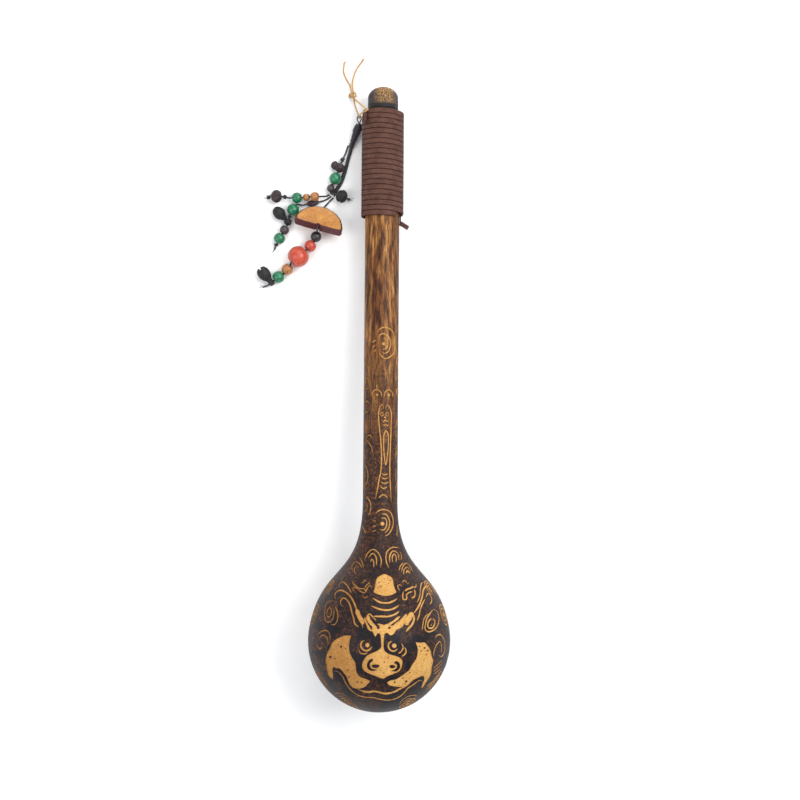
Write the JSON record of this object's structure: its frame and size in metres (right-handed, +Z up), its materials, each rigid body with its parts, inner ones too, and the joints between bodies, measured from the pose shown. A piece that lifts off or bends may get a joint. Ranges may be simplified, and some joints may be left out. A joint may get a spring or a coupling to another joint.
{
  "type": "gourd rattle",
  "caption": "Long-neck gourd rattle with a carved bulb, a plugged neck, a leather-laced grip and a hinged bead tassel on a hemp tie.",
  "frame": {"origin": "centre of the footprint of the gourd and its plug, on the surface that it lies on; the tassel is left out", "axes": "+Y along the handle towards the plug, +Z up, +X to the right of the handle; the gourd's own axis leans 5.48 degrees down towards +Y"},
  "size_m": [0.1518, 0.501, 0.107],
  "materials": {
    "burnt_gourd": "carved and burnt gourd skin, satin",
    "speckled_plug": "dark lacquer with a gold-brown speckle, satin",
    "brown_leather": "flat lace, matte",
    "dry_seed": "dry, matte",
    "hemp": "twisted two-ply string, fuzzy",
    "waxed_cord": "waxed cord, low sheen",
    "green_wood": "stained wooden bead, satin",
    "red_wood": "stained wooden bead, satin",
    "tan_wood": "oiled wooden bead, satin",
    "nut_slice": "sanded face, dark rind",
    "dark_seed": "dark brown seed, satin",
    "black_seed": "black seed, satin"
  },
  "bodies": {
    "gourd": {"gourd_shell": "burnt_gourd", "end_plug": "speckled_plug", "handle_lace": "brown_leather", "lace_tail": "brown_leather", "lace_bight": "brown_leather", "lace_fold": "brown_leather"},
    "loose_seeds": {"rattle_seeds": "dry_seed"},
    "hemp_tie": {"hemp_loop": "hemp", "hemp_knot": "hemp", "hemp_end_left": "hemp", "hemp_end_right": "hemp"},
    "tassel": {"tassel_eye": "waxed_cord", "wrapped_knot": "waxed_cord", "bundle_cord_left": "waxed_cord", "bundle_cord_right": "waxed_cord", "bundle_cord_top": "waxed_cord"},
    "side_strand": {"side_cord": "waxed_cord", "side_knots": "waxed_cord", "side_lobed_seed": "dark_seed", "side_green_bead": "green_wood", "side_dark_bead": "dark_seed", "side_black_seed": "black_seed"},
    "left_strand": {"left_cord": "waxed_cord", "left_knots": "waxed_cord", "left_tan_bead": "tan_wood", "left_small_tan_bead": "tan_wood", "left_green_bead": "green_wood", "left_round_seed": "dark_seed"},
    "lower_strand": {"lower_cord": "waxed_cord", "lower_knots": "waxed_cord", "lower_oval_seed": "dark_seed", "lower_green_bead": "green_wood", "lower_twin_seed": "black_seed", "lower_brown_bead": "dark_seed", "lower_end_bead": "green_wood"},
    "pendant_strand": {"pendant_cord": "waxed_cord", "half_disc_pendant": "nut_slice", "pendant_black_bead": "black_seed", "small_red_bead": "red_wood", "big_red_bead": "red_wood", "orange_bead": "tan_wood", "last_green_bead": "green_wood", "split_seed_pod": "black_seed"}
  },
  "joints": [
    {"name": "seeds_roll", "type": "hinge", "parent": "gourd", "child": "loose_seeds", "pos_m": [0, -0.18556, 0.0535], "axis": [0, 0.9954, -0.0955], "continuous": true},
    {"name": "tie_lift", "type": "hinge", "parent": "gourd", "child": "hemp_tie", "pos_m": [-0.0116, 0.219, 0.0258], "axis": [0, 1, 0], "range_deg": [0, 40]},
    {"name": "tassel_swing", "type": "hinge", "parent": "hemp_tie", "child": "tassel", "pos_m": [-0.0186, 0.2149, 0.013], "axis": [0, 0, 1], "range_deg": [-35, 0]},
    {"name": "side_strand_lift", "type": "hinge", "parent": "tassel", "child": "side_strand", "pos_m": [-0.0274, 0.1952, 0.0022], "axis": [-0.9806, 0.1961, 0], "range_deg": [0, 40]},
    {"name": "lower_strand_swing", "type": "hinge", "parent": "tassel", "child": "lower_strand", "pos_m": [-0.0408, 0.1553, 0.0008], "axis": [0, 0, 1], "range_deg": [-20, 0]},
    {"name": "left_strand_lift", "type": "hinge", "parent": "lower_strand", "child": "left_strand", "pos_m": [-0.0422, 0.1565, 0.0009], "axis": [-0.0885, 0.9961, 0], "range_deg": [0, 25]},
    {"name": "pendant_strand_lift", "type": "hinge", "parent": "tassel", "child": "pendant_strand", "pos_m": [-0.039, 0.1542, 0.0008], "axis": [-0.8669, 0.4985, 0], "range_deg": [0, 20]}
  ]
}
